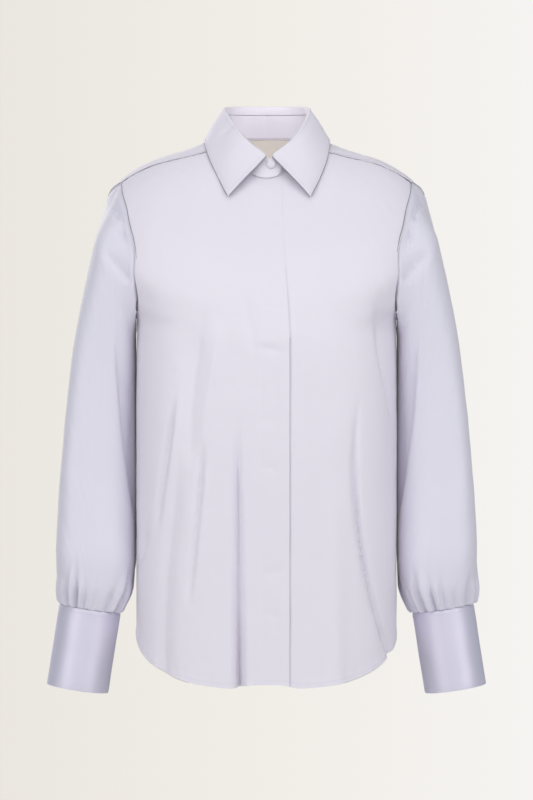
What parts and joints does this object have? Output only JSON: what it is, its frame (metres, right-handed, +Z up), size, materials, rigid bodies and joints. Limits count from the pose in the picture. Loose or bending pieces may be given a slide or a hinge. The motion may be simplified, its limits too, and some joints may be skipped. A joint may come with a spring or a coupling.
{
  "type": "balloon sleeve blouse",
  "caption": "Satin blouse filled out as worn, with a pointed collar on a stand, a hidden front closure, a back yoke and full sleeves gathered into deep buttoned cuffs.",
  "frame": {"origin": "middle of the neck opening, level with the tops of the shoulders, where the wearer's shoulders hold the blouse up", "axes": "+Z up along the wearer's back, +X to the wearer's left, -Y out of the wearer's chest"},
  "size_m": [0.5692, 0.2375, 0.7665],
  "materials": {
    "satin": "pale lavender satin with a soft sheen",
    "button": "button covered in the same satin",
    "label": "cream woven ribbon, bare"
  },
  "bodies": {
    "root": {"front_right": "satin", "front_left": "satin", "back": "satin", "yoke": "satin", "collar_stand": "satin", "collar": "satin", "neck_label": "label", "size_tab": "label", "neck_button": "button", "sleeve_right": "satin", "cuff_right": "satin", "cuff_right_button_1": "button", "cuff_right_button_2": "button", "sleeve_left": "satin", "cuff_left": "satin", "cuff_left_button_1": "button", "cuff_left_button_2": "button"}
  },
  "joints": []
}
